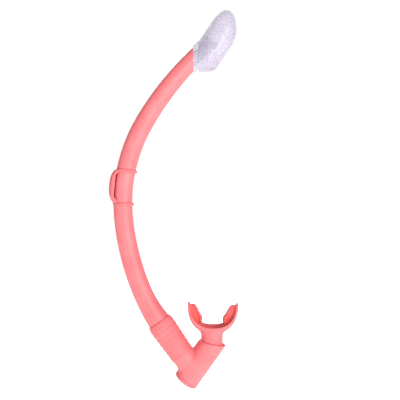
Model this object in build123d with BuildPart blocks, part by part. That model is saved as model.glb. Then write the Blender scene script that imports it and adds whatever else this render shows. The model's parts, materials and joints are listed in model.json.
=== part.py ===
from build123d import *
from math import cos, radians, sin
import os

# A dry-top snorkel, in millimetres. +Z is up along the barrel, +X points from the barrel towards the
# mouthpiece, and the object is mirror-symmetric about the XZ plane. The origin is the middle of the
# strap slot between the keeper's plate and the barrel.

os.makedirs("parts", exist_ok=True)

# ---------------------------------------------------------------- driving dimensions
BARREL_R = 11.0            # outer radius along the middle of the barrel
BORE_R = 8.2               # air bore
BACK_X = 12.4              # the centreline's leftmost point
BACK_Z = -17.5
MID_RADIUS, MID_LOW, MID_HIGH = 186.0, -5.0, 30.0     # middle arc: radius, lean at its two ends
LOW_RADIUS, LOW_LEAN = 288.0, -22.5                   # arc below it
FOOT_RADIUS, FOOT_LEAN = 188.0, -35.2                 # tighter arc down to the hose
TOP_RADIUS, TOP_LEAN = 354.0, 45.0                    # arc up to the clear top
# lean and barrel radius where the upper end tapers and where the foot flares out
TOP_STATIONS = [(MID_HIGH, BARREL_R), (35, 10.75), (40, 10.35), (TOP_LEAN, 9.95), (49, 9.7)]
FOOT_STATIONS = [(MID_LOW, BARREL_R), (-13, 11.05), (LOW_LEAN, 11.3), (-28, 11.7), (-32, 12.4),
                 (FOOT_LEAN, 13.3)]
TOP_CUT_X = 94.3           # the barrel ends on this upright plane
FIT = 0.05                 # radial clearance of a running fit

SLEEVE_R = 11.0            # hose connector, outside
SLEEVE_WALL = 1.5
SLEEVE_REACH = 13.0        # how far the connector goes into barrel and hose
COLLAR_R, COLLAR_T = 12.2, 0.9                         # its collar, between barrel and hose
BARB_H = 0.5               # its ridge, which holds the hose
HOSE_LENGTH = 46.5
HOSE_TOP_R, HOSE_R, HOSE_END_R = 13.1, 15.2, 14.2
RIB_PITCH, RIB_DEPTH = 6.2, 0.45

CHAMBER_X, CHAMBER_Z, CHAMBER_ANGLE = 85.5, -224.6, 54.7   # chamber axis starts at the purge end
CHAMBER_R, CHAMBER_BORE_R = 13.9, 11.6
CHAMBER_BORE_LENGTH = 38.0
PORT_X, PORT_Z, PORT_ANGLE = 116.5, -180.7, 78.4           # middle and axis of the mouthpiece port
PORT_R, SPIGOT_R, SPIGOT_BORE_R = 13.3, 9.2, 7.6
SPIGOT_LENGTH = 7.5
PURGE_SEAT_T = 4.0         # where the purge seat lies along the chamber axis
PURGE_RIM_R, PURGE_HUB_R, PURGE_STEM_R = 8.6, 2.6, 1.1
MEMBRANE_R, MEMBRANE_T = 9.8, 0.8

NECK_X, NECK_R = 116.3, 11.2
MOUTH_X, MOUTH_Z = 117.3, -135.0                           # centre of the lip flange's half ellipse
FLANGE_A, FLANGE_B, FLANGE_T = 29.1, 37.0, 2.0
FLANGE_HALF_Y = 12.5
TIP_HALF_Y, TIP_HEIGHT = 6.5, 22.0                         # its tips, narrowed over this height
MOUTH_BORE_R = 8.2         # air passage through the neck
MOUTH_BORE_TOP, MOUTH_BORE_LOW = -160.0, -174.0

COVER_X, COVER_Z, COVER_ANGLE = 117.65, 169.8, 56.0        # reference point and axis of the cover
COVER_N, COVER_HALF, COVER_DEPTH = 3.1, 17.7, 16.2         # section's offset, half width, half depth
COVER_WALL = 1.6
COVER_CUT_X, COVER_CUT_Z = 100.5, 137.6
SEAT_X, SEAT_Z, SEAT_ANGLE = 112.8, 167.2, 75.0            # sealing seat of the dry valve
SEAT_R, SEAT_BORE_R = 7.4, 6.0
DUCT_R = 8.1               # duct's spigot in the barrel
DUCT_BORE_R = 6.6
PIVOT_X, PIVOT_Z = 121.6, 166.4
PIN_R = 0.9
OPEN_ANGLE = 20.0          # how far the valve stands open at rest


# ---------------------------------------------------------------- planes and axes
def across(x, z, angle):
    """Plane square to the line that leaves (x, z) at this angle above +X; its normal runs along the line."""
    a = radians(angle)
    return Plane(origin=(x, 0, z), x_dir=(sin(a), 0, -cos(a)), z_dir=(cos(a), 0, sin(a)))


def along(x, z, angle):
    """Side-view plane whose +Y runs along the same line and whose +X is square to it, to its right."""
    a = radians(angle)
    return Plane(origin=(x, 0, z), x_dir=(sin(a), 0, -cos(a)), z_dir=(0, -1, 0))


def axis_of(x, z, angle):
    a = radians(angle)
    return Axis((x, 0, z), (cos(a), 0, sin(a)))


def on_line(x, z, angle, distance):
    a = radians(angle)
    return x + distance * cos(a), z + distance * sin(a)


def outward(lean):
    """Unit vector from a barrel arc's centre to its centreline, where the centreline leans this far."""
    a = radians(lean)
    return -cos(a), sin(a)


def next_centre(centre, radius, new_radius, lean):
    """Centre of an arc of another radius that goes on tangentially where the lean is this."""
    ox, oz = outward(lean)
    return centre[0] + (radius - new_radius) * ox, centre[1] + (radius - new_radius) * oz


MID_CENTRE = (BACK_X + MID_RADIUS, BACK_Z)
LOW_CENTRE = next_centre(MID_CENTRE, MID_RADIUS, LOW_RADIUS, MID_LOW)
FOOT_CENTRE = next_centre(LOW_CENTRE, LOW_RADIUS, FOOT_RADIUS, LOW_LEAN)
TOP_CENTRE = next_centre(MID_CENTRE, MID_RADIUS, TOP_RADIUS, MID_HIGH)


def centreline(lean):
    """Point of the barrel's centreline where it leans this many degrees past upright."""
    centre, radius = MID_CENTRE, MID_RADIUS
    if lean > MID_HIGH:
        centre, radius = TOP_CENTRE, TOP_RADIUS
    elif lean < LOW_LEAN:
        centre, radius = FOOT_CENTRE, FOOT_RADIUS
    elif lean < MID_LOW:
        centre, radius = LOW_CENTRE, LOW_RADIUS
    ox, oz = outward(lean)
    return centre[0] + radius * ox, centre[1] + radius * oz


def across_barrel(lean):
    x, z = centreline(lean)
    return across(x, z, 90 - lean)


def lean_arc(centre, radius, low, high):
    """Arc of the centreline, drawn upwards in the XZ plane."""
    return CenterArc(centre, radius, 180 - low, low - high)


FOOT_X, FOOT_Z = centreline(FOOT_LEAN)
HOSE_ANGLE = 90 - FOOT_LEAN - 180          # the hose leaves the barrel's foot in line with it
HOSE_END_X, HOSE_END_Z = on_line(FOOT_X, FOOT_Z, HOSE_ANGLE, HOSE_LENGTH)


# ---------------------------------------------------------------- barrel
def barrel_run(radius, low=FOOT_LEAN - 3, high=TOP_LEAN + 3):
    """Round rod of one radius along the centreline, as a cutter."""
    with BuildPart() as rod:
        with BuildLine(Plane.XZ):
            if low < LOW_LEAN:
                lean_arc(FOOT_CENTRE, FOOT_RADIUS, low, LOW_LEAN)
            if low < MID_LOW:
                lean_arc(LOW_CENTRE, LOW_RADIUS, max(low, LOW_LEAN), MID_LOW)
            lean_arc(MID_CENTRE, MID_RADIUS, max(low, MID_LOW), min(high, MID_HIGH))
            if high > MID_HIGH:
                lean_arc(TOP_CENTRE, TOP_RADIUS, MID_HIGH, high)
        with BuildSketch(across_barrel(low)):
            Circle(radius)
        sweep()
    return rod.part


with BuildPart() as barrel:
    with BuildLine(Plane.XZ):
        lean_arc(MID_CENTRE, MID_RADIUS, MID_LOW, MID_HIGH)
    with BuildSketch(across_barrel(MID_LOW)):
        Circle(BARREL_R)
    sweep()
    # the upper end tapers and the foot flares out to meet the hose
    for lean, radius in TOP_STATIONS:
        with BuildSketch(across_barrel(lean)):
            Circle(radius)
    loft()
    for lean, radius in FOOT_STATIONS:
        with BuildSketch(across_barrel(lean)):
            Circle(radius)
    loft()
    split(bisect_by=Plane.YZ.offset(TOP_CUT_X), keep=Keep.BOTTOM)
    add(barrel_run(BORE_R), mode=Mode.SUBTRACT)
    with BuildSketch(across(FOOT_X, FOOT_Z, HOSE_ANGLE)):
        Circle(SLEEVE_R + FIT)
    extrude(amount=-(SLEEVE_REACH + 0.5), mode=Mode.SUBTRACT)
barrel.part.label = "barrel"
export_step(barrel.part, "parts/barrel.step")


# ---------------------------------------------------------------- keeper
KEEPER_LEAN = 5.4
KEEPER_X = centreline(KEEPER_LEAN)[0]
RING_SPAN = 19.5           # rings lie this far above and below the middle
RING_BEAD_R = 1.8
RING_CENTRE_R = BARREL_R + 0.9
RING_TILTS = [(RING_SPAN, 7.0), (-RING_SPAN, 0.5)]
DEGREES_PER_MM = 0.308     # lean gained along the middle arc for each millimetre of height
PLATE_OUT_R, PLATE_BULGE_R, PLATE_T = 16.6, 36.0, 1.6
PLATE_RISE = 1.0           # the bulge's middle stands this far above the middle of the rings
PLATE_HALF_Y = 10.6

with BuildPart() as keeper_plate:
    with BuildSketch(along(KEEPER_X, 0, 90 - KEEPER_LEAN)):
        with Locations((PLATE_BULGE_R - PLATE_OUT_R, PLATE_RISE)):
            Circle(PLATE_BULGE_R)
            Circle(PLATE_BULGE_R - PLATE_T, mode=Mode.SUBTRACT)
        Rectangle(60, 2 * RING_SPAN - 0.6, align=(Align.MAX, Align.CENTER), mode=Mode.INTERSECT)
    revolve(axis=axis_of(KEEPER_X, 0, 90 - KEEPER_LEAN))
    with Locations((KEEPER_X - 20, 0, 0)):
        Box(40, 2 * PLATE_HALF_Y, 60, mode=Mode.INTERSECT)

with BuildPart() as keeper:
    add(keeper_plate.part)
    for height, tilt in RING_TILTS:
        ring_x = centreline(KEEPER_LEAN + height * DEGREES_PER_MM)[0]
        with BuildSketch(along(ring_x, height, 90 - tilt)):
            with Locations((RING_CENTRE_R, 0)):
                Circle(RING_BEAD_R)
        revolve(axis=axis_of(ring_x, height, 90 - tilt))
    add(barrel_run(BARREL_R + FIT, MID_LOW, MID_HIGH), mode=Mode.SUBTRACT)
keeper.part.label = "keeper"
export_step(keeper.part, "parts/keeper.step")


# ---------------------------------------------------------------- hose and its connector
SLEEVE_BORE_R = SLEEVE_R - SLEEVE_WALL
with BuildPart() as hose_connector:
    with BuildSketch(along(FOOT_X, FOOT_Z, HOSE_ANGLE)):
        with BuildLine():
            Polyline((SLEEVE_BORE_R, -SLEEVE_REACH), (SLEEVE_R, -SLEEVE_REACH), (SLEEVE_R, 0.1),
                     (COLLAR_R, 0.1), (COLLAR_R, COLLAR_T), (SLEEVE_R, COLLAR_T), (SLEEVE_R, 5),
                     (SLEEVE_R + BARB_H, 7), (SLEEVE_R, 9), (SLEEVE_R, SLEEVE_REACH),
                     (SLEEVE_BORE_R, SLEEVE_REACH), close=True)
        make_face()
    revolve(axis=axis_of(FOOT_X, FOOT_Z, HOSE_ANGLE))
hose_connector.part.label = "hose_connector"
export_step(hose_connector.part, "parts/hose_connector.step")

HOSE_START = 1.0           # the hose begins just past the connector's collar
FIRST_RIB = HOSE_START + 6.0
RIBS = 6
HOSE_BORE_R = SLEEVE_R + 0.6
with BuildPart() as flex_hose:
    with BuildSketch(along(FOOT_X, FOOT_Z, HOSE_ANGLE)):
        with BuildLine():
            edge = [(HOSE_TOP_R, HOSE_START), (HOSE_TOP_R + 1.3, HOSE_START + 3.5)]
            for rib in range(RIBS):
                crest = FIRST_RIB + rib * RIB_PITCH
                crest_r = HOSE_R + (HOSE_END_R - HOSE_R) * rib / RIBS
                edge += [(crest_r, crest), (crest_r - RIB_DEPTH, crest + RIB_PITCH / 2)]
            edge += [(HOSE_END_R, HOSE_LENGTH)]
            Spline(*edge)
            Polyline(edge[-1], (HOSE_BORE_R, HOSE_LENGTH), (HOSE_BORE_R, HOSE_START), edge[0])
        make_face()
    revolve(axis=axis_of(FOOT_X, FOOT_Z, HOSE_ANGLE))
flex_hose.part.label = "flex_hose"
export_step(flex_hose.part, "parts/flex_hose.step")


# ---------------------------------------------------------------- elbow housing
HOSE_FACE = across(HOSE_END_X, HOSE_END_Z, HOSE_ANGLE)
CHAMBER_FACE = across(CHAMBER_X, CHAMBER_Z, CHAMBER_ANGLE)
PORT_FACE = across(PORT_X, PORT_Z, PORT_ANGLE)
ARM_LENGTH = 23.0          # hose arm, up to where it meets the chamber
COVER_SEAM_T = 2.0         # seam between chamber and purge cover, along the chamber axis
PORT_COLLAR_T = 4.5
HOSE_STUB = 8.0            # how far the housing's stub goes into the hose

with BuildPart() as elbow_housing:
    # hose arm, chamber and port collar
    with BuildSketch(HOSE_FACE):
        Circle(HOSE_END_R)
    extrude(amount=ARM_LENGTH)
    with BuildSketch(CHAMBER_FACE.offset(COVER_SEAM_T)):
        Circle(CHAMBER_R)
    extrude(amount=70)
    split(bisect_by=PORT_FACE, keep=Keep.BOTTOM)
    with BuildSketch(PORT_FACE):
        Circle(PORT_R)
    extrude(amount=-PORT_COLLAR_T)
    with BuildSketch(PORT_FACE):
        Circle(SPIGOT_R)
    extrude(amount=SPIGOT_LENGTH)
    with BuildSketch(HOSE_FACE):
        Circle(SLEEVE_R + 0.5)
    extrude(amount=-HOSE_STUB)
    # air passages
    with BuildSketch(HOSE_FACE.offset(-HOSE_STUB - 1)):
        Circle(SLEEVE_BORE_R)
    extrude(amount=ARM_LENGTH + HOSE_STUB, mode=Mode.SUBTRACT)
    with BuildSketch(CHAMBER_FACE):
        Circle(CHAMBER_BORE_R)
    extrude(amount=CHAMBER_BORE_LENGTH, mode=Mode.SUBTRACT)
    with BuildSketch(PORT_FACE.offset(SPIGOT_LENGTH + 1.5)):
        Circle(SPIGOT_BORE_R)
    extrude(amount=-27, mode=Mode.SUBTRACT)
elbow_housing.part.label = "elbow_housing"
export_step(elbow_housing.part, "parts/elbow_housing.step")


# ---------------------------------------------------------------- purge valve
SEAT_FACE = CHAMBER_FACE.offset(PURGE_SEAT_T)
SPOKES, SPOKE_W = 3, 1.4
SEAT_T = 1.6

with BuildPart() as purge_seat:
    with BuildSketch(SEAT_FACE):
        Circle(CHAMBER_BORE_R - 0.02)
        Circle(PURGE_RIM_R, mode=Mode.SUBTRACT)
        Circle(PURGE_HUB_R)
        for spoke in range(SPOKES):
            Rectangle(2 * PURGE_RIM_R + 1, SPOKE_W, rotation=spoke * 180 / SPOKES)
        Circle(PURGE_STEM_R, mode=Mode.SUBTRACT)
    extrude(amount=SEAT_T)
purge_seat.part.label = "purge_seat"
export_step(purge_seat.part, "parts/purge_seat.step")

KNOB_T = 3.4               # the stem's knob, behind the seat
with BuildPart() as purge_membrane:
    with BuildSketch(SEAT_FACE.offset(-0.02)):
        Circle(MEMBRANE_R)
    extrude(amount=-MEMBRANE_T)
    with BuildSketch(SEAT_FACE.offset(-0.1)):
        Circle(PURGE_STEM_R - FIT)
    extrude(amount=KNOB_T + 0.8)
    with BuildSketch(SEAT_FACE.offset(KNOB_T)):
        Circle(PURGE_STEM_R + 0.6)
    extrude(amount=1.2)
purge_membrane.part.label = "purge_membrane"
export_step(purge_membrane.part, "parts/purge_membrane.step")

COVER_FACE_T = -4.1        # outer face of the purge cover, along the chamber axis
COVER_FACE_WALL = 1.8
COVER_ROUND = 3.6
SLOTS, SLOT_PITCH, SLOT_LENGTH, SLOT_W = 4, 4.4, 16.0, 2.0
with BuildPart() as purge_cover:
    with BuildSketch(CHAMBER_FACE.offset(COVER_FACE_T)):
        Circle(CHAMBER_R + 0.2)
    extrude(amount=COVER_SEAM_T - 0.1 - COVER_FACE_T)
    fillet(purge_cover.edges().sort_by(axis_of(CHAMBER_X, CHAMBER_Z, CHAMBER_ANGLE))[0], radius=COVER_ROUND)
    with BuildSketch(CHAMBER_FACE.offset(COVER_FACE_T + COVER_FACE_WALL)):
        Circle(CHAMBER_BORE_R)
    extrude(amount=6, mode=Mode.SUBTRACT)
    with BuildSketch(CHAMBER_FACE.offset(COVER_FACE_T - 1)):
        with GridLocations(0, SLOT_PITCH, 1, SLOTS):
            SlotOverall(SLOT_LENGTH, SLOT_W)
    extrude(amount=4, mode=Mode.SUBTRACT)
purge_cover.part.label = "purge_cover"
export_step(purge_cover.part, "parts/purge_cover.step")


# ---------------------------------------------------------------- mouthpiece
with BuildPart() as lip_flange:
    with BuildSketch(Plane.XZ.offset(-FLANGE_HALF_Y)):
        with Locations((MOUTH_X, MOUTH_Z)):
            Ellipse(FLANGE_A, FLANGE_B)
            Ellipse(FLANGE_A - FLANGE_T, FLANGE_B - FLANGE_T, mode=Mode.SUBTRACT)
            Rectangle(2 * FLANGE_A + 2, FLANGE_B + 2, align=(Align.CENTER, Align.MAX), mode=Mode.INTERSECT)
    extrude(amount=2 * FLANGE_HALF_Y)
    # seen from the side the flange narrows towards its two tips
    with BuildSketch(Plane.YZ.offset(MOUTH_X - 40)):
        with BuildLine():
            Polyline((-FLANGE_HALF_Y, MOUTH_Z - 50), (FLANGE_HALF_Y, MOUTH_Z - 50),
                     (FLANGE_HALF_Y, MOUTH_Z - TIP_HEIGHT), (TIP_HALF_Y, MOUTH_Z + 0.3),
                     (-TIP_HALF_Y, MOUTH_Z + 0.3), (-FLANGE_HALF_Y, MOUTH_Z - TIP_HEIGHT), close=True)
        make_face()
    extrude(amount=80, mode=Mode.INTERSECT)

TAB_EDGE = [(19.9, -2.3), (18.4, -6.8), (17.0, -10.5), (13.4, -14.6), (12.6, -19.5), (13.6, -26.0)]
TAB_HALF_Y = 3.5
with BuildPart() as bite_tabs:
    for side in (1, -1):
        with BuildSketch(Plane.XZ.offset(-TAB_HALF_Y)):
            with BuildLine():
                edge = [(MOUTH_X + side * x, MOUTH_Z + z) for x, z in TAB_EDGE]
                Polyline(*edge, (MOUTH_X + side * 30, edge[-1][1]), (MOUTH_X + side * 30, edge[0][1]),
                         close=True)
            make_face()
            with Locations((MOUTH_X, MOUTH_Z)):
                Ellipse(FLANGE_A - 1, FLANGE_B - 1, mode=Mode.INTERSECT)
        extrude(amount=2 * TAB_HALF_Y)

with BuildPart() as mouthpiece:
    add(lip_flange.part)
    add(bite_tabs.part)
    with BuildSketch(Plane.XY.offset(-166)):
        with Locations((NECK_X, 0)):
            Circle(NECK_R)
    extrude(amount=-25)
    split(bisect_by=PORT_FACE.offset(0.3), keep=Keep.TOP)
    # air passage, opened out to an oval in the lip flange, and the socket for the port's spigot
    with BuildSketch(Plane.XY.offset(MOUTH_BORE_TOP)):
        with Locations((NECK_X, 0)):
            Ellipse(10.5, MOUTH_BORE_R)
    with BuildSketch(Plane.XY.offset(MOUTH_BORE_LOW)):
        with Locations((NECK_X, 0)):
            Circle(MOUTH_BORE_R)
    loft(mode=Mode.SUBTRACT)
    with BuildSketch(Plane.XY.offset(MOUTH_BORE_LOW + 0.1)):
        with Locations((NECK_X, 0)):
            Circle(MOUTH_BORE_R)
    extrude(amount=-6, mode=Mode.SUBTRACT)
    with BuildSketch(PORT_FACE):
        Circle(SPIGOT_R + FIT)
    extrude(amount=SPIGOT_LENGTH + 0.3, mode=Mode.SUBTRACT)
mouthpiece.part.label = "mouthpiece"
export_step(mouthpiece.part, "parts/mouthpiece.step")


# ---------------------------------------------------------------- clear top
DOME_START, DOME_LENGTH = 8.0, 32.0         # the straight part ends here, along the cover's axis
# ellipses of the dome: distance along the axis, offset square to it, half width, half depth
DOME = [(DOME_START, COVER_N, COVER_HALF, COVER_DEPTH), (17, 2.7, 17.0, 15.9), (26, 1.1, 15.1, 14.6),
        (33, -1.3, 11.4, 11.6), (37.5, -2.5, 7.6, 8.0), (40.2, -3.2, 2.6, 3.2)]
COVER_BELOW = 48.0


def cover_solid(inset):
    """Teardrop body of the splash cover, drawn in by this much all round."""
    frame = across(COVER_X, COVER_Z, COVER_ANGLE)
    with BuildPart() as body:
        with BuildSketch(frame.offset(-COVER_BELOW)):
            with Locations((COVER_N, 0)):
                Ellipse(COVER_HALF - inset, COVER_DEPTH - inset)
        extrude(amount=COVER_BELOW + DOME_START)
        for u, n, half, depth in DOME:
            with BuildSketch(frame.offset(u - inset * (u - DOME_START) / DOME_LENGTH)):
                with Locations((n, 0)):
                    Ellipse(half - inset, depth - inset)
        loft()
    return body.part


with BuildPart() as top_cover:
    add(cover_solid(0))
    add(cover_solid(COVER_WALL), mode=Mode.SUBTRACT)
    split(bisect_by=Plane.YZ.offset(COVER_CUT_X + 0.1), keep=Keep.TOP)
    split(bisect_by=Plane.XY.offset(COVER_CUT_Z), keep=Keep.TOP)
top_cover.part.label = "top_cover"
export_step(top_cover.part, "parts/top_cover.step")

TOP_FACE = across_barrel(TOP_LEAN)
SEAL_FACE = across(SEAT_X, SEAT_Z, SEAT_ANGLE)
DUCT_SPIGOT = 12.0         # how far the duct's spigot goes into the barrel
COLLAR_LOW = (149.6, 10.2, 15.9)            # the oval collar's two ends: height of its middle, half width,
COLLAR_HIGH = (154.3, 13.2, 17.0)           # half height
EAR_Y, EAR_T = 5.0, 1.6
PIN_HALF = 6.6

with BuildPart() as valve_body:
    # spigot inside the barrel, oval collar, and duct up to the sealing seat
    with BuildSketch(TOP_FACE):
        Circle(DUCT_R)
    extrude(amount=-DUCT_SPIGOT)
    for collar_x, (middle, half_y, half_z) in [(TOP_CUT_X + 0.1, COLLAR_LOW), (COVER_CUT_X, COLLAR_HIGH)]:
        with BuildSketch(Plane.YZ.offset(collar_x)):
            with Locations((0, middle)):
                Ellipse(half_y, half_z)
    loft()
    with BuildSketch(TOP_FACE):
        Circle(DUCT_R)
    with BuildSketch(SEAL_FACE):
        Circle(SEAT_R)
    loft()
    with BuildSketch(TOP_FACE.offset(-DUCT_SPIGOT - 1)):
        Circle(DUCT_BORE_R)
    extrude(amount=DUCT_SPIGOT + 2, mode=Mode.SUBTRACT)
    with BuildSketch(TOP_FACE.offset(0.9)):
        Circle(DUCT_BORE_R)
    with BuildSketch(SEAL_FACE.offset(0.2)):
        Circle(SEAT_BORE_R)
    loft(mode=Mode.SUBTRACT)
    # two ears for the pivot pin
    for side in (1, -1):
        with BuildSketch(Plane.XZ.offset(side * EAR_Y - EAR_T / 2)):
            with BuildLine():
                Polyline((SEAT_X + 4.0, SEAT_Z - 6), (PIVOT_X + 1.2, PIVOT_Z - 2.5),
                         (PIVOT_X + 1.8, PIVOT_Z + 1.0), (PIVOT_X + 0.6, PIVOT_Z + 2.0),
                         (PIVOT_X - 1.2, PIVOT_Z + 1.6), (SEAT_X + 4.0, SEAT_Z - 2.4), close=True)
            make_face()
        extrude(amount=EAR_T)
    with BuildSketch(SEAL_FACE.offset(0.3)):
        Circle(SEAT_BORE_R)
    extrude(amount=-7, mode=Mode.SUBTRACT)
    with BuildSketch(Plane.XZ.offset(-PIN_HALF - 2)):
        with Locations((PIVOT_X, PIVOT_Z)):
            Circle(PIN_R)
    extrude(amount=2 * PIN_HALF + 4, mode=Mode.SUBTRACT)
valve_body.part.label = "valve_body"
export_step(valve_body.part, "parts/valve_body.step")

with BuildPart() as pivot_pin:
    with BuildSketch(Plane.XZ.offset(-PIN_HALF)):
        with Locations((PIVOT_X, PIVOT_Z)):
            Circle(PIN_R - 0.01)
    extrude(amount=2 * PIN_HALF)
pivot_pin.part.label = "pivot_pin"
export_step(pivot_pin.part, "parts/pivot_pin.step")


# ---------------------------------------------------------------- dry valve, standing open
def swung(x, z):
    """A point of the closed lever, turned about the pin to where it stands open, clockwise from the front."""
    a = radians(OPEN_ANGLE)
    dx, dz = x - PIVOT_X, z - PIVOT_Z
    return PIVOT_X + dx * cos(a) + dz * sin(a), PIVOT_Z - dx * sin(a) + dz * cos(a)


DISC_X, DISC_Z = swung(SEAT_X, SEAT_Z)
DISC_ANGLE = SEAT_ANGLE - OPEN_ANGLE
DISC_R, DISC_T = 6.8, 1.4
DISC_LIFT = 0.1            # the closed disc's gap to the seat
BOSS_R, BOSS_H = 1.6, 1.6
DISC_TOP = DISC_LIFT + DISC_T
ARM_T, ARM_HALF_Y = 1.2, 2.6
HUB_R, HUB_HALF_Y = 1.7, 4.0

with BuildPart() as seal_disc:
    with BuildSketch(across(DISC_X, DISC_Z, DISC_ANGLE).offset(DISC_LIFT)):
        Circle(DISC_R)
    extrude(amount=DISC_T)
    with BuildSketch(across(DISC_X, DISC_Z, DISC_ANGLE).offset(DISC_TOP)):
        Circle(BOSS_R)
    extrude(amount=BOSS_H)
seal_disc.part.label = "seal_disc"
export_step(seal_disc.part, "parts/seal_disc.step")

FLOAT_LOW, FLOAT_HIGH = -10.0, 9.0          # along the cover's axis
FLOAT_LEFT, FLOAT_RIGHT = 8.2, 17.6         # square to it
FLOAT_CENTRE_N, FLOAT_SEMI_N, FLOAT_SEMI_Y = 6.0, 12.0, 9.6
FLOAT_TOE_N, FLOAT_TOE_U = 13.2, -4.0       # its lower edge is cut off from here to here
FLOAT_WALL = 1.0
LINK_LEFT, LINK_HALF_Y, LINK_T = 5.0, 3.4, 2.2   # arm between hub and float

with BuildPart() as valve_lever:
    # arm over the disc, with a hole for its boss
    with BuildSketch(across(DISC_X, DISC_Z, DISC_ANGLE).offset(DISC_TOP + 0.05)):
        Circle(ARM_HALF_Y)
        Rectangle(8.0, 2 * ARM_HALF_Y, align=(Align.MIN, Align.CENTER))
        Circle(BOSS_R + 0.02, mode=Mode.SUBTRACT)
    extrude(amount=ARM_T)
    # arm to the float
    with BuildSketch(along(COVER_X, COVER_Z, COVER_ANGLE).offset(-LINK_HALF_Y)):
        with Locations((LINK_LEFT, -0.6)):
            Rectangle(FLOAT_LEFT - 0.02 - LINK_LEFT, LINK_T, align=(Align.MIN, Align.CENTER))
    extrude(amount=2 * LINK_HALF_Y)
    with BuildSketch(Plane.XZ.offset(-HUB_HALF_Y)):
        with Locations((PIVOT_X, PIVOT_Z)):
            Circle(HUB_R)
    extrude(amount=2 * HUB_HALF_Y)
    with BuildSketch(Plane.XZ.offset(-PIN_HALF)):
        with Locations((PIVOT_X, PIVOT_Z)):
            Circle(PIN_R + FIT)
    extrude(amount=2 * PIN_HALF, mode=Mode.SUBTRACT)
valve_lever.part.label = "valve_lever"
export_step(valve_lever.part, "parts/valve_lever.step")


def float_block(inset):
    """D-shaped float, drawn in by this much all round."""
    with BuildPart() as block:
        with BuildSketch(across(COVER_X, COVER_Z, COVER_ANGLE).offset(FLOAT_LOW)):
            with Locations((FLOAT_CENTRE_N, 0)):
                Ellipse(FLOAT_SEMI_N - inset, FLOAT_SEMI_Y - inset)
            with Locations((FLOAT_LEFT + inset, 0)):
                Rectangle(20, 30, align=(Align.MIN, Align.CENTER), mode=Mode.INTERSECT)
        extrude(amount=FLOAT_HIGH - FLOAT_LOW + 2)
        with BuildSketch(along(COVER_X, COVER_Z, COVER_ANGLE).offset(-20)):
            with BuildLine():
                Polyline((FLOAT_LEFT - 1, FLOAT_LOW + inset), (FLOAT_TOE_N - 0.6 * inset, FLOAT_LOW + inset),
                         (FLOAT_RIGHT - inset, FLOAT_TOE_U + 0.5 * inset),
                         (FLOAT_RIGHT - inset, FLOAT_HIGH - inset), (10.5, FLOAT_HIGH + 1.5 - 1.2 * inset),
                         (FLOAT_LEFT - 1, FLOAT_HIGH - 1 - inset), close=True)
            make_face()
        extrude(amount=40, mode=Mode.INTERSECT)
    return block.part


FLOAT_LID = across(COVER_X, COVER_Z, COVER_ANGLE).offset(FLOAT_LOW + 1.2)

with BuildPart() as float_shell:
    add(float_block(0))
    split(bisect_by=FLOAT_LID, keep=Keep.TOP)
    add(float_block(FLOAT_WALL), mode=Mode.SUBTRACT)
float_shell.part.label = "float_shell"
export_step(float_shell.part, "parts/float_shell.step")

with BuildPart() as float_cap:
    add(float_block(0))
    split(bisect_by=FLOAT_LID, keep=Keep.BOTTOM)
float_cap.part.label = "float_cap"
export_step(float_cap.part, "parts/float_cap.step")
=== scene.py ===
import json
from math import cos, pi, radians, sin

import bpy
import numpy as np
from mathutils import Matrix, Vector


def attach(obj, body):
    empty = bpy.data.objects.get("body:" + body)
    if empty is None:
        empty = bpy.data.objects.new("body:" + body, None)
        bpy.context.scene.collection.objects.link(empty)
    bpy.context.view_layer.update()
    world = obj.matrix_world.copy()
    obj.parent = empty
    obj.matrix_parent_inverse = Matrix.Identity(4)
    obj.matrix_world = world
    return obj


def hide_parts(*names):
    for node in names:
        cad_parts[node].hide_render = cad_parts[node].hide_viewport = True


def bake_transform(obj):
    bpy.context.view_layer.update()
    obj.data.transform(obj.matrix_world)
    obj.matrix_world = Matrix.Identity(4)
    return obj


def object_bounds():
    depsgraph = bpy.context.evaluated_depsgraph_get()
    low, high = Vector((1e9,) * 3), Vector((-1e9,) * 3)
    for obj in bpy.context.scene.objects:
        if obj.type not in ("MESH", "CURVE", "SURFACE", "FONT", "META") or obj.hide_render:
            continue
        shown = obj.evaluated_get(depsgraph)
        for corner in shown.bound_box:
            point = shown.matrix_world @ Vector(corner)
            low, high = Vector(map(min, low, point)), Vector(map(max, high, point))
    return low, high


# Snorkel tube. Seven visible pieces are modelled here and stand for CAD nodes. The other nine CAD nodes,
# most of them hidden inside, are shown as they are.
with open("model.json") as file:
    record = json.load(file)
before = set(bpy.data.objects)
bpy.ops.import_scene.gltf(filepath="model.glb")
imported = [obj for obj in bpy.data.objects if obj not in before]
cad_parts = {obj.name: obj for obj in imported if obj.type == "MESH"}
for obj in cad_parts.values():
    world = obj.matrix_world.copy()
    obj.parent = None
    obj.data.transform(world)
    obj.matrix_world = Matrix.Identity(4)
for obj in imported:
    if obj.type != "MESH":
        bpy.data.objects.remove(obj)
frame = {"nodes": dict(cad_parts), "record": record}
cad_low, cad_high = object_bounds()

# Lengths below are in millimetres, in the frame of the CAD model; meshes are made in metres.
MM = 0.001

# ---------------------------------------------------------------- driving dimensions
BORE_R, TOP_CUT_X = 8.2, 94.3
MID_CENTRE, MID_RADIUS = (198.4, -17.5), 186.0
MID_LOW, MID_HIGH = -5.0, 30.0
LOW_RADIUS, LOW_LEAN = 288.0, -22.5
FOOT_RADIUS, FOOT_LEAN = 188.0, -35.2
TOP_RADIUS = 354.0
BARREL_LEANS = (-35.2, -34.2, -32, -28, -22.5, -13, -5, 30, 35, 40, 45, 50)
BARREL_RADII = (13.15, 12.95, 12.3, 11.7, 11.3, 11.05, 11.0, 11.0, 10.75, 10.35, 9.95, 9.6)
SOCKET_R, SOCKET_DEPTH = 11.05, 13.4                   # where the connector sits in the barrel's foot

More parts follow.
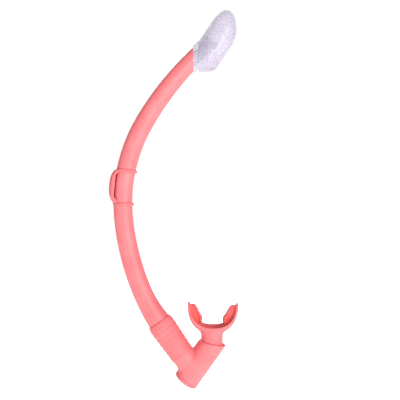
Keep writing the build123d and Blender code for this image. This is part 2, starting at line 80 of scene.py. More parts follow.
HOSE_ANGLE = -54.8
HOSE_START, HOSE_LENGTH, HOSE_BORE_R, LIP_START = 1.0, 46.5, 11.6, 0.6
HOSE_PLACES = (1.0, 2.5, 5.0, 8.0, 11.0, HOSE_LENGTH)  # distances along the hose, and its radius there
HOSE_RADII = (13.8, 14.5, 15.1, 15.45, 15.45, 14.2)
RIB_PITCH, RIB_WAVE, FIRST_RIB = 6.2, 0.24, 7.0

CHAMBER, CHAMBER_ANGLE = (85.5, -224.6), 54.7
CHAMBER_R, CHAMBER_BORE_R, CHAMBER_BORE_LENGTH = 14.5, 11.6, 38
SKIN_START = (85.95, -224.92)                          # the casing's own axis, set off from the bore's
COVER_SEAM, COVER_SEAM_GAP, COVER_END = 2.0, 0.06, -2.3     # purge cover's two ends along that axis
ARM_R, ARM_TAPER, ARM_BORE_R = 14.2, 1.1, 9.5
PORT, PORT_ANGLE, PORT_R = (116.5, -180.7), 78.4, 13.9
SPIGOT_R, SPIGOT_LENGTH, SPIGOT_BORE_R = 9.2, 7.5, 7.6

MOUTH = (116.9, -135.0)
NECK_X, NECK_R = 116.4, 12.5

CAP, CAP_ANGLE = (117.65, 169.8), 56.0
CAP_CUT_X, CAP_CUT_Z, CAP_WALL = 100.6, 137.6, 1.6


# ---------------------------------------------------------------- places along the object
def unit(angle):
    a = radians(angle)
    return np.array([cos(a), 0.0, sin(a)])


def next_centre(centre, radius, new_radius, lean):
    a = radians(lean)
    return centre[0] - (radius - new_radius) * cos(a), centre[1] + (radius - new_radius) * sin(a)


LOW_CENTRE = next_centre(MID_CENTRE, MID_RADIUS, LOW_RADIUS, MID_LOW)
FOOT_CENTRE = next_centre(LOW_CENTRE, LOW_RADIUS, FOOT_RADIUS, LOW_LEAN)
TOP_CENTRE = next_centre(MID_CENTRE, MID_RADIUS, TOP_RADIUS, MID_HIGH)


def barrel_point(lean, radius, around):
    """Points of a tube about the barrel's centreline; around is 0 on its convex, outer side."""
    lean, radius, around = np.broadcast_arrays(lean, radius, around)
    chosen = [lean > MID_HIGH, lean < LOW_LEAN, lean < MID_LOW]
    cx = np.select(chosen, [TOP_CENTRE[0], FOOT_CENTRE[0], LOW_CENTRE[0]], MID_CENTRE[0])
    cz = np.select(chosen, [TOP_CENTRE[1], FOOT_CENTRE[1], LOW_CENTRE[1]], MID_CENTRE[1])
    bend = np.select(chosen, [TOP_RADIUS, FOOT_RADIUS, LOW_RADIUS], MID_RADIUS)
    out = bend + radius * np.cos(around)
    a = np.radians(lean)
    return np.stack([cx - out * np.cos(a), radius * np.sin(around), cz + out * np.sin(a)], -1)


FOOT = barrel_point(FOOT_LEAN, 0.0, 0.0)
HOSE_END = FOOT + HOSE_LENGTH * unit(HOSE_ANGLE)


# ---------------------------------------------------------------- meshes
def add_mesh(name, points, faces):
    mesh = bpy.data.meshes.new(name)
    mesh.from_pydata((np.asarray(points) * MM).tolist(), [], faces)
    mesh.update()
    mesh.shade_smooth()
    obj = bpy.data.objects.new(name, mesh)
    bpy.context.scene.collection.objects.link(obj)
    return obj


def loop_mesh(name, rows, tip=None):
    """Mesh through rings of points of equal count. The last ring closes on the tip, or on the first ring."""
    rings, count = len(rows), len(rows[0])
    faces = []
    for i in range(rings if tip is None else rings - 1):
        j = (i + 1) % rings
        for k in range(count):
            m = (k + 1) % count
            faces.append((i * count + k, i * count + m, j * count + m, j * count + k))
    if tip is not None:
        last = (rings - 1) * count
        faces += [(last + k, last + (k + 1) % count, rings * count) for k in range(count)]
        rows = rows + [tip]
    return add_mesh(name, np.concatenate(rows), faces)


def field_mesh(name, field, low, high, cell, passes=3):
    """Mesh of the surface where a distance field is zero. The field is negative inside."""
    axes = [np.arange(a, b + cell, cell) for a, b in zip(low, high)]
    x, y, z = np.meshgrid(*axes, indexing="ij")
    value = field(x, y, z)
    inside = value < 0
    shape = tuple(n - 1 for n in value.shape)
    total = np.zeros(shape + (3,))
    hits = np.zeros(shape)
    corner = [slice(None, -1), slice(1, None)]
    for axis in range(3):
        for b in (0, 1):
            for c in (0, 1):
                near = [b, c]
                near.insert(axis, 0)
                far = [b, c]
                far.insert(axis, 1)
                va = value[tuple(corner[i] for i in near)]
                vb = value[tuple(corner[i] for i in far)]
                cross = (va < 0) != (vb < 0)
                t = np.where(cross, va / np.where(cross, va - vb, 1.0), 0.0)
                for d in range(3):
                    total[..., d] += np.where(cross, t if d == axis else near[d], 0.0)
                hits += cross
    # one point in each cell that the surface crosses
    cells = np.argwhere(hits > 0)
    index = np.full(shape, -1)
    index[tuple(cells.T)] = np.arange(len(cells))
    points = (cells + total[tuple(cells.T)] / hits[tuple(cells.T)][:, None]) * cell + np.array(low)
    # one face around each grid edge that the surface crosses, turned so that it looks outwards
    faces = []
    for axis in range(3):
        starts = np.argwhere(np.diff(inside.astype(int), axis=axis) != 0)
        b, c = (axis + 1) % 3, (axis + 2) % 3
        keep = (starts[:, b] > 0) & (starts[:, c] > 0)
        keep &= (starts[:, b] < shape[b]) & (starts[:, c] < shape[c])
        starts = starts[keep]
        corners = []
        for db, dc in ((-1, -1), (0, -1), (0, 0), (-1, 0)):
            at = starts.copy()
            at[:, b] += db
            at[:, c] += dc
            corners.append(index[tuple(at.T)])
        quads = np.stack(corners, 1)
        leaving = inside[tuple(starts.T)]
        quads[~leaving] = quads[~leaving][:, ::-1]
        faces.append(quads)
    faces = np.concatenate(faces)
    edges = np.concatenate([faces[:, [i, (i + 1) % 4]] for i in range(4)])
    for _ in range(passes):
        # even the points out along the surface, then bring them back onto it
        mean, links = np.zeros_like(points), np.zeros(len(points))
        for a, b in ((0, 1), (1, 0)):
            np.add.at(mean, edges[:, a], points[edges[:, b]])
            np.add.at(links, edges[:, a], 1)
        points = 0.5 * points + 0.5 * mean / links[:, None]
        for _ in range(2):
            here = field(*points.T)
            slope = np.stack([(field(*(points + d).T) - field(*(points - d).T)) / 0.04
                              for d in 0.02 * np.eye(3)], 1)
            size = np.maximum((slope ** 2).sum(1), 0.2)
            points = points - np.clip(here / size, -cell, cell)[:, None] * slope
    return add_mesh(name, points, faces.tolist())


# ---------------------------------------------------------------- distance fields
def both(a, b, round_off):
    """Intersection of two fields with its edge rounded off."""
    h = np.clip(0.5 - 0.5 * (b - a) / round_off, 0, 1)
    return b * (1 - h) + a * h + round_off * h * (1 - h)


def either(a, b, round_off):
    """Union of two fields with its crease filled in."""
    h = np.clip(0.5 + 0.5 * (b - a) / round_off, 0, 1)
    return b * (1 - h) + a * h - round_off * h * (1 - h)


def without(a, b, round_off):
    return both(a, -b, round_off)


def frame_of(x, y, z, start, angle):
    """Distance along a side-view line, and distance from it."""
    u = unit(angle)
    along = (x - start[0]) * u[0] + (z - start[1]) * u[2]
    side = (x - start[0]) * u[2] - (z - start[1]) * u[0]
    return along, side, np.hypot(side, y)


def rod(x, y, z, start, angle, low, high, radius, edge):
    """Round rod along a side-view line, with rounded edges."""
    along, _, away = frame_of(x, y, z, start, angle)
    middle, half = (low + high) / 2, (high - low) / 2
    dr, dt = away - radius + edge, np.abs(along - middle) - half + edge
    outside = np.hypot(np.maximum(dr, 0), np.maximum(dt, 0))
    return outside + np.minimum(np.maximum(dr, dt), 0) - edge


def smooth_step(low, high, value):
    t = np.clip((value - low) / (high - low), 0, 1)
    return t * t * (3 - 2 * t)


# ---------------------------------------------------------------- materials
def noise(tree, scale, detail, rough=0.5):
    node = tree.nodes.new("ShaderNodeTexNoise")
    node.inputs["Scale"].default_value = scale
    node.inputs["Detail"].default_value = detail
    node.inputs["Roughness"].default_value = rough
    place_node = tree.nodes.get("Place") or tree.nodes.new("ShaderNodeTexCoord")
    place_node.name = "Place"
    tree.links.new(place_node.outputs["Object"], node.inputs["Vector"])
    return node


def material(name, tones, roughness, tone_scale, grain_scale, grain_depth, **uniform):
    """Principled finish: two or three tones that drift over the surface, uneven gloss, a fine grain, and
    painted shade where a mesh carries a per-point shade amount.
    """
    made = bpy.data.materials.new(name)
    made.use_nodes = True
    tree = made.node_tree
    shader = tree.nodes["Principled BSDF"]
    drift = noise(tree, tone_scale, 3)
    ramp = tree.nodes.new("ShaderNodeValToRGB")
    while len(ramp.color_ramp.elements) < len(tones):
        ramp.color_ramp.elements.new(0.5)
    for i, tone in enumerate(tones):
        ramp.color_ramp.elements[i].position = 0.3 + 0.4 * i / (len(tones) - 1)
        ramp.color_ramp.elements[i].color = (*tone, 1)
    tree.links.new(drift.outputs["Fac"], ramp.inputs["Fac"])
    # painted shade: a per-point amount multiplies the base colour by a deeper coral, standing in for shade in
    # recesses
    depth = tree.nodes.new("ShaderNodeAttribute")              # 0 on a mesh that has no such attribute
    depth.attribute_name = "painted_shade"
    painted_shade_mix = tree.nodes.new("ShaderNodeMix")
    painted_shade_mix.data_type = "RGBA"
    painted_shade_mix.blend_type = "MULTIPLY"
    painted_shade_mix.inputs["B"].default_value = (0.95, 0.72, 0.66, 1)
    tree.links.new(depth.outputs["Fac"], painted_shade_mix.inputs["Factor"])
    tree.links.new(ramp.outputs["Color"], painted_shade_mix.inputs["A"])
    tree.links.new(painted_shade_mix.outputs["Result"], shader.inputs["Base Color"])
    gloss = noise(tree, tone_scale * 4, 4, 0.6)
    spread = tree.nodes.new("ShaderNodeMapRange")
    spread.inputs["From Min"].default_value, spread.inputs["From Max"].default_value = 0.3, 0.7
    spread.inputs["To Min"].default_value, spread.inputs["To Max"].default_value = roughness
    tree.links.new(gloss.outputs["Fac"], spread.inputs["Value"])
    tree.links.new(spread.outputs["Result"], shader.inputs["Roughness"])
    grain = noise(tree, grain_scale, 2)
    waves = noise(tree, tone_scale * 2, 1)
    mix = tree.nodes.new("ShaderNodeMath")
    mix.operation = "MULTIPLY_ADD"
    mix.inputs[1].default_value = 6.0                          # slow waves count for more than the grain
    tree.links.new(waves.outputs["Fac"], mix.inputs[0])
    tree.links.new(grain.outputs["Fac"], mix.inputs[2])
    bump = tree.nodes.new("ShaderNodeBump")
    bump.inputs["Strength"].default_value = 1.0
    bump.inputs["Distance"].default_value = grain_depth
    tree.links.new(mix.outputs["Value"], bump.inputs["Height"])
    tree.links.new(bump.outputs["Normal"], shader.inputs["Normal"])
    for socket, value in uniform.items():
        shader.inputs[socket.replace("_", " ")].default_value = value
    return made


CORAL_DEEP, CORAL, CORAL_LIGHT = (0.80, 0.165, 0.175), (0.83, 0.187, 0.197), (0.85, 0.212, 0.222)
coral_plastic = material(
    "coral_plastic", (CORAL_DEEP, CORAL, CORAL_LIGHT), (0.40, 0.52), 45, 2600, 0.000018,
    Subsurface_Weight=0.12, Subsurface_Radius=(1.0, 0.35, 0.3), Subsurface_Scale=0.0022, IOR=1.47)
coral_silicone = material(
    "coral_silicone", (CORAL_DEEP, CORAL, CORAL_LIGHT), (0.46, 0.62), 60, 3400, 0.000022,
    Subsurface_Weight=0.22, Subsurface_Radius=(1.0, 0.35, 0.3), Subsurface_Scale=0.003, IOR=1.42,
    Specular_IOR_Level=0.35)
clear_plastic = material(
    "clear_plastic", ((0.54, 0.485, 0.60), (0.63, 0.57, 0.70)), (0.20, 0.30), 130, 3000, 0.000008,
    Alpha=0.36, IOR=1.4, Specular_IOR_Level=0.4)
white_plastic = material(
    "white_plastic", ((0.80, 0.80, 0.85), (0.88, 0.88, 0.92)), (0.30, 0.42), 90, 3000, 0.000012,
    Subsurface_Weight=0.2, Subsurface_Scale=0.002, IOR=1.49)
clear_silicone = material(
    "clear_silicone", ((0.80, 0.79, 0.86), (0.88, 0.87, 0.93)), (0.35, 0.5), 150, 3000, 0.000012,
    Transmission_Weight=0.45, IOR=1.41)
steel = material("steel", ((0.55, 0.56, 0.58), (0.70, 0.71, 0.73)), (0.2, 0.34), 400, 6000, 0.000006,
                 Metallic=1.0)
FINISH = {"coral_plastic": coral_plastic, "coral_silicone": coral_silicone, "clear_plastic": clear_plastic,
          "white_plastic": white_plastic, "clear_silicone": clear_silicone, "steel": steel}


def dress(obj, slot):
    obj.data.materials.clear()
    obj.data.materials.append(FINISH[slot])


def finish_piece(obj, node, slot, body):
    """Give a mesh its material, and let it stand for a CAD node on that node's body."""
    dress(obj, slot)
    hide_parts(node)
    if body:
        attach(obj, body)
    return obj


# ---------------------------------------------------------------- barrel
AROUND = np.linspace(0, 2 * pi, 96, endpoint=False)
CUT_LEAN = 38.0            # above this the rings turn from square to the barrel to the upright cut


def barrel_radius(lean):
    """Radius along the barrel, with the ends of each stretch eased."""
    spread = np.linspace(-2, 2, 9)
    return np.mean([np.interp(lean + s, BARREL_LEANS, BARREL_RADII) for s in spread], axis=0)


def cut_lean(radius_of, cut_x):
    """Lean at which each generator of the tube meets the upright cutting plane."""
    low, high = np.full_like(AROUND, 30.0), np.full_like(AROUND, 55.0)
    for _ in range(40):
        middle = (low + high) / 2
        beyond = barrel_point(middle, radius_of(middle), AROUND)[..., 0] > cut_x
        high = np.where(beyond, middle, high)
        low = np.where(beyond, low, middle)
    return low


def make_barrel():
    ridge = 0.07 * np.exp(-(np.sin(AROUND) / 0.035) ** 2)      # mould line on both edges

    def outer(lean):
        return barrel_radius(lean) + ridge

    def bore(lean):
        return BORE_R + 0 * lean

    def top_rows(radius_of, inset, drop, shares):
        end = cut_lean(lambda lean: radius_of(lean) - inset, TOP_CUT_X - drop)
        leans = [CUT_LEAN + (end - CUT_LEAN) * t for t in shares]
        return [barrel_point(lean, radius_of(lean) - inset, AROUND) for lean in leans]

    rim = 0.35                                                 # rounding of the upper rim
    side_leans = np.linspace(FOOT_LEAN + 0.2, CUT_LEAN - 0.7, 150)
    rows = [barrel_point(FOOT_LEAN, SOCKET_R + 0.3, AROUND)]
    rows += [barrel_point(FOOT_LEAN, outer(FOOT_LEAN) - 0.6, AROUND)]
    rows += [barrel_point(FOOT_LEAN + 0.04, outer(FOOT_LEAN) - 0.2, AROUND)]
    rows += [barrel_point(lean, outer(lean), AROUND) for lean in side_leans]
    rows += top_rows(outer, 0, rim, np.linspace(0, 1, 22))
    rows += top_rows(outer, 0.1, 0.1, [1]) + top_rows(outer, rim, 0, [1])
    rows += top_rows(bore, -rim, 0, [1]) + top_rows(bore, 0, rim, np.linspace(1, 0, 12))
    socket_lean = FOOT_LEAN + np.degrees(SOCKET_DEPTH / FOOT_RADIUS)
    bore_leans = np.linspace(CUT_LEAN - 2, socket_lean, 60)
    socket_leans = np.linspace(socket_lean, FOOT_LEAN + 0.15, 6)
    rows += [barrel_point(lean, bore(lean), AROUND) for lean in bore_leans]
    rows += [barrel_point(lean, SOCKET_R, AROUND) for lean in socket_leans]
    obj = loop_mesh("barrel_tube", [row[::-1] for row in rows])
    obj.data.set_sharp_from_angle(angle=radians(50))
    return finish_piece(obj, "barrel", "coral_plastic", "barrel")


# ---------------------------------------------------------------- keeper
KEEPER_LEAN, RING_HEIGHT, RING_R, BEAD_R = 5.4, 19.5, 11.5, 1.65
RING_TILTS = ((RING_HEIGHT, 7.0), (-RING_HEIGHT, 0.5))
PLATE_T, PLATE_HALF_Y = 1.5, 10.6
PLATE_OUT, PLATE_RISE, PLATE_SAG_2, PLATE_SAG_4 = 16.8, 1.2, 0.0072, 0.000022
PLATE_EDGE_R = 14.6        # where the plate's two long edges run beside the barrel
DEGREES_PER_MM = 0.308     # lean gained along the middle arc for each millimetre of height
KEEPER_BORE_R = 11.05


def keeper_field(x, y, z):
    mid_x = barrel_point(KEEPER_LEAN, 0.0, 0.0)[0]
    along, _, away = frame_of(x, y, z, (mid_x, 0.0), 90 - KEEPER_LEAN)
    half = PLATE_T / 2 + 0.3 * smooth_step(8.2, 10.0, np.abs(y))     # thicker along its long edges
    # the plate bows out along its middle, while its two long edges run straight beside the barrel
    rise = np.clip(along - PLATE_RISE, -23, 23)
    bow = PLATE_OUT - PLATE_T / 2 - PLATE_SAG_2 * rise ** 2 - PLATE_SAG_4 * rise ** 4
    edge = np.minimum(PLATE_EDGE_R, bow)
    level = edge + (bow - edge) * (1 - np.clip(np.abs(y) / PLATE_HALF_Y, 0, 1) ** 2.4)
    plate = 0.8 * np.abs(away - level) - half
    plate = both(plate, np.abs(y) - PLATE_HALF_Y, 1.2)
    plate = both(plate, np.abs(along) - RING_HEIGHT, 0.6)
    solid = both(plate, x - mid_x + 2, 0.5)
    for height, tilt in RING_TILTS:
        ring_x = barrel_point(KEEPER_LEAN + height * DEGREES_PER_MM, 0.0, 0.0)[0]
        ring_along, _, ring_away = frame_of(x, y, z, (ring_x, height), 90 - tilt)
        plate_side = smooth_step(-3, -10, x - ring_x)
        ring = np.hypot(ring_away - RING_R + 1.2 * plate_side, ring_along)
        ring = ring - BEAD_R * (1 - 0.3 * plate_side)
        solid = either(solid, ring, 1.8)
    tube = np.hypot(np.hypot(x - MID_CENTRE[0], z - MID_CENTRE[1]) - MID_RADIUS, y) - KEEPER_BORE_R
    return without(solid, tube, 0.25)


def make_keeper():
    obj = field_mesh("keeper_band", keeper_field, (-5.5, -15.5, -24), (29.5, 15.5, 25), 0.42)
    return finish_piece(obj, "keeper", "coral_silicone", "keeper")


# ---------------------------------------------------------------- hose
def make_hose():
    u = unit(HOSE_ANGLE)
    side, across = np.array([u[2], 0.0, -u[0]]), np.array([0, 1.0, 0])
    circle = np.cos(AROUND)[:, None] * side + np.sin(AROUND)[:, None] * across

    def ring(s, r):
        return FOOT + s * u + r * circle

    def outside(s):
        base = np.interp(s, HOSE_PLACES, HOSE_RADII)
        wave = np.cos(2 * pi * (s - FIRST_RIB) / RIB_PITCH) - 0.4
        return base + RIB_WAVE * wave * smooth_step(4.0, 8.0, s) * smooth_step(HOSE_LENGTH, 44.0, s) - 0.05

    # a thin lip of the hose covers the connector's collar up to the seam
    rows = [ring(HOSE_START, 12.3), ring(LIP_START, 12.35), ring(LIP_START, 12.9)]
    rows += [ring(LIP_START + 0.1, 13.3), ring(LIP_START + 0.35, 13.6)]
    rows += [ring(s, outside(s)) for s in np.linspace(HOSE_START, HOSE_LENGTH - 0.12, 130)]
    rows += [ring(HOSE_LENGTH - 0.02, outside(HOSE_LENGTH) - 0.03), ring(HOSE_LENGTH, 13.6)]
    rows += [ring(HOSE_LENGTH, HOSE_BORE_R + 0.2)]
    rows += [ring(s, HOSE_BORE_R) for s in np.linspace(HOSE_LENGTH - 0.3, HOSE_START + 0.3, 20)]
    rows += [ring(HOSE_START, HOSE_BORE_R + 0.2)]
    obj = loop_mesh("hose_sleeve", rows)
    obj.data.set_sharp_from_angle(angle=radians(50))
    finish_piece(obj, "flex_hose", "coral_silicone", None)
    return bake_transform(obj)


# ---------------------------------------------------------------- elbow housing
def elbow_field(x, y, z):
    hose_end = (HOSE_END[0], HOSE_END[2])
    arm = rod(x, y, z, hose_end, HOSE_ANGLE, 0.03, 26, ARM_R, 0.12)
    past_hose, _, arm_away = frame_of(x, y, z, hose_end, HOSE_ANGLE)
    arm = both(arm, arm_away - ARM_R + ARM_TAPER * smooth_step(0, 8, past_hose), 0.3)
    chamber = rod(x, y, z, SKIN_START, CHAMBER_ANGLE, COVER_SEAM, 80, CHAMBER_R, 0.12)
    above_port, _, port_away = frame_of(x, y, z, PORT, PORT_ANGLE)
    chamber = both(chamber, above_port, 0.9)
    solid = either(arm, chamber, 3.4)
    collar = rod(x, y, z, PORT, PORT_ANGLE, -4.5, 0, PORT_R, 0.9)
    solid = either(solid, collar, 1.2)
    solid = np.minimum(solid, rod(x, y, z, PORT, PORT_ANGLE, -6, SPIGOT_LENGTH, SPIGOT_R, 0.3))
    solid = np.minimum(solid, rod(x, y, z, hose_end, HOSE_ANGLE, -8, 4, 11.5, 0.3))
    solid = without(solid, rod(x, y, z, hose_end, HOSE_ANGLE, -20, 22, ARM_BORE_R, 0.4), 0.3)
    bore = rod(x, y, z, CHAMBER, CHAMBER_ANGLE, -10, CHAMBER_BORE_LENGTH, CHAMBER_BORE_R, 0.6)
    solid = without(solid, bore, 0.3)
    return without(solid, rod(x, y, z, PORT, PORT_ANGLE, -18, 20, SPIGOT_BORE_R, 0.4), 0.3)


def make_elbow():
    obj = field_mesh("elbow_shell", elbow_field, (67, -15.5, -236), (134, 15.5, -169), 0.62)
    return finish_piece(obj, "elbow_housing", "coral_plastic", "elbow")


# ---------------------------------------------------------------- purge cover
SLOTS, SLOT_PITCH, SLOT_LENGTH, SLOT_W, SLOT_DEPTH = 4, 4.4, 16.0, 2.0, 3.0
COVER_ROUND, COVER_ROUND_END, COVER_EDGE = 3.9, 1.3, 0.12     # big rounding, where it stops, edge at the seam
COVER_PROUD, COVER_WALL = 0.1, 1.7


def purge_field(x, y, z):
    along, side, away = frame_of(x, y, z, SKIN_START, CHAMBER_ANGLE)
    half = (COVER_SEAM - COVER_SEAM_GAP - COVER_END) / 2
    rounding = COVER_ROUND - 1.9 * smooth_step(-0.2, COVER_ROUND_END, along)
    rounding = np.where(along < COVER_ROUND_END, rounding, COVER_EDGE)
    dr = away - CHAMBER_R - COVER_PROUD + rounding
    dt = np.abs(along - COVER_END - half) - half + rounding
    cap = np.hypot(np.maximum(dr, 0), np.maximum(dt, 0)) + np.minimum(np.maximum(dr, dt), 0) - rounding
    bore = rod(x, y, z, CHAMBER, CHAMBER_ANGLE, COVER_END + COVER_WALL, 8, CHAMBER_BORE_R, 1.2)
    cap = without(cap, bore, 0.3)
    for i in range(SLOTS):
        across = y - (i - (SLOTS - 1) / 2) * SLOT_PITCH
        slot = np.hypot(np.maximum(np.abs(side) - SLOT_LENGTH / 2 + SLOT_W / 2, 0), across) - SLOT_W / 2
        slot = np.maximum(slot, along - COVER_END - SLOT_DEPTH)
        cap = without(cap, slot, 0.5)
    return cap


def make_purge_cover():
    obj = field_mesh("purge_grille", purge_field, (67, -15, -237), (102, 15, -211), 0.42)
    return finish_piece(obj, "purge_cover", "coral_plastic", "elbow")


# ---------------------------------------------------------------- mouthpiece
MOUTH_TILT, TILT_DROP = 1.8, 25     # the lips are turned this far, left tip up, about a point this far below
FLANGE_A, FLANGE_B, FLANGE_HALF, FLANGE_POWER = 28.4, 34.0, 1.0, 2.4
FLANGE_CURL_A, FLANGE_CURL_B = 1.4, 6.2     # how far its long edges are drawn in, across and down
FLANGE_HALF_Y = 12.4
TAB_DROPS = (-27.0, -22.5, -19.5, -16.5, -14.2, -12.0, -9.0, -6.0, -3.5, -1.5)
TAB_INSETS = (14.6, 12.4, 11.9, 12.0, 12.9, 14.9, 16.4, 18.0, 19.6, 21.0)


def mouth_field(x, y, z):
    a = radians(MOUTH_TILT)
    rx, rz = x - MOUTH[0], z - (MOUTH[1] - TILT_DROP)
    dx, dz = rx * cos(a) - rz * sin(a), rx * sin(a) + rz * cos(a) - TILT_DROP
    # half an ellipse seen from the side, drawn in towards the mouth at its two long edges
    curl = np.clip(y / FLANGE_HALF_Y, -1.1, 1.1) ** 2
    wide, deep = FLANGE_A - FLANGE_CURL_A * curl, FLANGE_B - FLANGE_CURL_B * curl
    u, v = np.abs(dx) / wide, np.abs(dz) / deep
    power = FLANGE_POWER
    reach = (u ** power + v ** power) ** (1 / power) + 1e-6
    slope = np.hypot(u ** (power - 1) / wide, v ** (power - 1) / deep) / reach ** (power - 1)
    slope = slope + 1e-6
    lean_in = np.sqrt(1 + (2 * FLANGE_CURL_B * y / FLANGE_HALF_Y ** 2 * np.clip(-dz / deep, 0, 1)) ** 2)
    from_ellipse = np.clip((reach - 1) / slope / lean_in, -30, 30)
    half_y = FLANGE_HALF_Y - 6.0 * smooth_step(-24, 2, dz)
    half = FLANGE_HALF + 0.25 * smooth_step(2.6, 0.8, half_y - np.abs(y))
    flange = np.abs(from_ellipse) - half
    flange = both(flange, np.abs(y) - half_y, 1.4)
    flange = both(flange, dz - 0.2, 1.4)
    # bite tabs: a web from the flange, thicker along its edge, with shallow tooth bumps
    edge = np.interp(dz, TAB_DROPS, TAB_INSETS)
    into = np.abs(dx) - edge
    ridge = np.exp(-((into - 2.0) / 1.7) ** 2)
    bumps = 0.4 * np.sin(2 * pi * dz / 4.3 + 0.6) * smooth_step(7, 1, into)
    thick = 1.7 + (1.7 + bumps) * ridge + 0.5 * smooth_step(3, 8, into)
    tab = both(0.85 * (np.abs(y) - thick), -into * 0.9, 1.6)
    tab = both(tab, from_ellipse, 0.8)
    tab = both(tab, dz + 1.6, 1.4)
    tab = both(tab, -(dz + 27.5), 1.6)
    solid = either(flange, tab, 1.8)
    # neck, flaring into the flange
    neck = np.hypot(x - NECK_X, y) - NECK_R
    above_port, _, _ = frame_of(x, y, z, PORT, PORT_ANGLE)
    neck = both(neck, z + 167.5, 1.5)
    solid = either(solid, neck, 4.6)
    solid = both(solid, 0.3 - above_port, 0.4)
    bore_half = np.interp(z, (-174, -160), (8.2, 10.3))
    bore = 8.0 * (np.sqrt(((x - NECK_X) / bore_half) ** 2 + (y / 8.2) ** 2) - 1)
    solid = without(solid, both(bore, z + 150, 0.5), 1.0)
    return without(solid, rod(x, y, z, PORT, PORT_ANGLE, -4, 7.8, 9.25, 0.2), 0.2)


def make_mouthpiece():
    obj = field_mesh("mouthpiece_body", mouth_field, (86.5, -13.5, -184.5), (148, 13.5, -132.5), 0.5)
    mesh = obj.data
    at = np.zeros(3 * len(mesh.vertices))
    mesh.vertices.foreach_get("co", at)
    x, y, z = at.reshape(-1, 3).T / MM
    curl = (y / FLANGE_HALF_Y) ** 2
    inside = 1 - np.hypot((x - MOUTH[0]) / (FLANGE_A - FLANGE_CURL_A * curl),
                          (z - MOUTH[1]) / (FLANGE_B - FLANGE_CURL_B * curl))
    # painted shade: the tabs, the flange's inner face and the bore sit enclosed in the flange, and their
    # coral is darkened to stand for the shade that falls in these recesses
    painted_shade_mask = smooth_step(0.0, 0.04, inside)
    bore = smooth_step(11.8, 10.8, np.hypot(x - NECK_X, y)) * smooth_step(-159, -162, z)
    painted_shade_mask = np.maximum(painted_shade_mask, bore)
    mesh.attributes.new("painted_shade", "FLOAT", "POINT").data.foreach_set("value", painted_shade_mask)
    return finish_piece(obj, "mouthpiece", "coral_silicone", "mouthpiece")


# ---------------------------------------------------------------- clear cap
CAP_HALF, CAP_DEPTH, CAP_OFFSET = 17.7, 16.2, 3.1
DOME_START, DOME_END = 8.0, 41.0


def cap_section(along):
    """Half width, half depth and offset of the cap's oval section."""
    t = np.clip((along - DOME_START) / (DOME_END - DOME_START), 0, 1)
    half = CAP_HALF * (1 - t ** 2.2) ** 0.526
    depth = CAP_DEPTH * (1 - t ** 2.6) ** 0.52
    return half, depth, CAP_OFFSET - 6.4 * t ** 1.75


def cap_point(along, around):
    half, depth, offset = cap_section(along)
    n, y = offset + half * np.cos(around), depth * np.sin(around)
    a = radians(CAP_ANGLE)
    x = CAP[0] + along * cos(a) + n * sin(a)
    z = CAP[1] + along * sin(a) - n * cos(a)
    y = y * (1 - 0.17 * smooth_step(114, CAP_CUT_X, x))         # narrows towards the collar
    return np.stack([x, y, z], -1)


def make_cap():
    # distance along the cap at which each generator meets the rounded cut
    low, high = np.full_like(AROUND, -60.0), np.full_like(AROUND, 30.0)
    for _ in range(40):
        middle = (low + high) / 2
        points = cap_point(middle, AROUND)
        clear = both(CAP_CUT_X - points[:, 0], CAP_CUT_Z - points[:, 2], 2.5) < 0
        low, high = np.where(clear, low, middle), np.where(clear, middle, high)
    start = high
    rows = [cap_point(start + (DOME_START - start) * share, AROUND) for share in np.linspace(0, 1, 70)]
    for turn in np.linspace(0.03, 1, 46)[:-1]:
        rows.append(cap_point(DOME_START + (DOME_END - DOME_START) * sin(turn * pi / 2), AROUND))
    obj = loop_mesh("cap_shell", rows, tip=cap_point(np.array([DOME_END]), np.array([0.0])))
    wall = obj.modifiers.new("wall", "SOLIDIFY")
    wall.thickness = CAP_WALL * MM
    wall.offset = -1
    wall.use_even_offset = True
    edge = obj.modifiers.new("edge", "BEVEL")
    edge.width = 0.45 * MM
    edge.segments = 3
    edge.limit_method = "ANGLE"
    edge.angle_limit = radians(55)
    return finish_piece(obj, "top_cover", "clear_plastic", "barrel")


make_barrel()
make_keeper()
make_hose()
make_elbow()
make_purge_cover()
make_mouthpiece()
make_cap()

slot_of = {part["node"]: part["material_slot"] for part in frame["record"]["subparts"]}
for node in ("hose_connector", "purge_seat", "purge_membrane", "valve_body", "valve_lever", "seal_disc",
             "float_shell", "float_cap", "pivot_pin"):
    dress(frame["nodes"][node], slot_of[node])


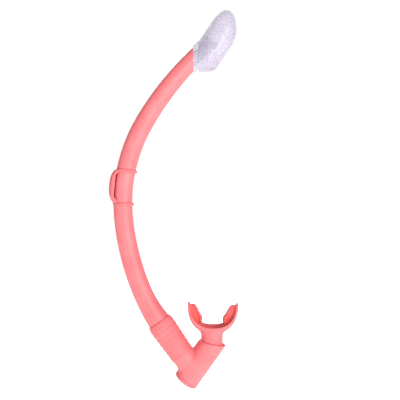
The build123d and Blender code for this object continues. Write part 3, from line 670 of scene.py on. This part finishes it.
# ---------------------------------------------------------------- floor, light and camera
def make_floor():
    size, height = 6.0, cad_low[2] - 0.06
    corners = [(-size, -size), (size, -size), (size, size), (-size, size)]
    mesh = bpy.data.meshes.new("floor")
    mesh.from_pydata([(x, y, height) for x, y in corners], [], [(0, 1, 2, 3)])
    obj = bpy.data.objects.new("floor", mesh)
    bpy.context.scene.collection.objects.link(obj)
    pale = material("pale_floor", ((0.93, 0.93, 0.93), (0.95, 0.95, 0.95)), (0.7, 0.8), 2, 200, 0.0001,
                    Emission_Color=(1, 1, 1, 1), Emission_Strength=0.76)
    obj.data.materials.append(pale)


def area_light(name, where, target, size, power):
    data = bpy.data.lights.new(name, "AREA")
    data.shape = "DISK"
    data.size = size
    data.energy = power
    obj = bpy.data.objects.new(name, data)
    obj.location = where
    obj.rotation_euler = (Vector(target) - Vector(where)).to_track_quat("-Z", "Y").to_euler()
    bpy.context.scene.collection.objects.link(obj)


def make_world():
    world = bpy.data.worlds.new("studio")
    bpy.context.scene.world = world
    world.use_nodes = True
    tree = world.node_tree
    light = tree.nodes["Background"]
    light.inputs["Color"].default_value = (0.86, 0.85, 0.9, 1)
    light.inputs["Strength"].default_value = 0.32
    seen = tree.nodes.new("ShaderNodeBackground")
    seen.inputs["Color"].default_value = (1, 1, 1, 1)
    seen.inputs["Strength"].default_value = 1.05
    ray = tree.nodes.new("ShaderNodeLightPath")
    direct = tree.nodes.new("ShaderNodeMath")
    direct.operation = "MAXIMUM"
    tree.links.new(ray.outputs["Is Camera Ray"], direct.inputs[0])
    tree.links.new(ray.outputs["Is Transmission Ray"], direct.inputs[1])
    mix = tree.nodes.new("ShaderNodeMixShader")
    tree.links.new(direct.outputs["Value"], mix.inputs["Fac"])
    tree.links.new(light.outputs["Background"], mix.inputs[1])
    tree.links.new(seen.outputs["Background"], mix.inputs[2])
    tree.links.new(mix.outputs["Shader"], tree.nodes["World Output"].inputs["Surface"])


make_floor()
make_world()
CENTRE = (0.06, 0.0, -0.015)
area_light("key", (0.85, -1.15, 0.25), CENTRE, 0.9, 15.8)
area_light("fill", (-0.7, -1.25, 0.1), CENTRE, 0.8, 4)
area_light("back", (-0.2, 1.3, 0.7), CENTRE, 0.9, 7)

bpy.context.scene.view_settings.view_transform = "Standard"
lens = bpy.data.cameras.new("camera")
lens.lens = 53.2
lens.sensor_width = 36
lens.clip_start = 0.01
camera = bpy.data.objects.new("camera", lens)
camera.location = (0.1025, -0.69, -0.0146)
camera.rotation_euler = (pi / 2, 0, 0)
bpy.context.scene.collection.objects.link(camera)
bpy.context.scene.camera = camera
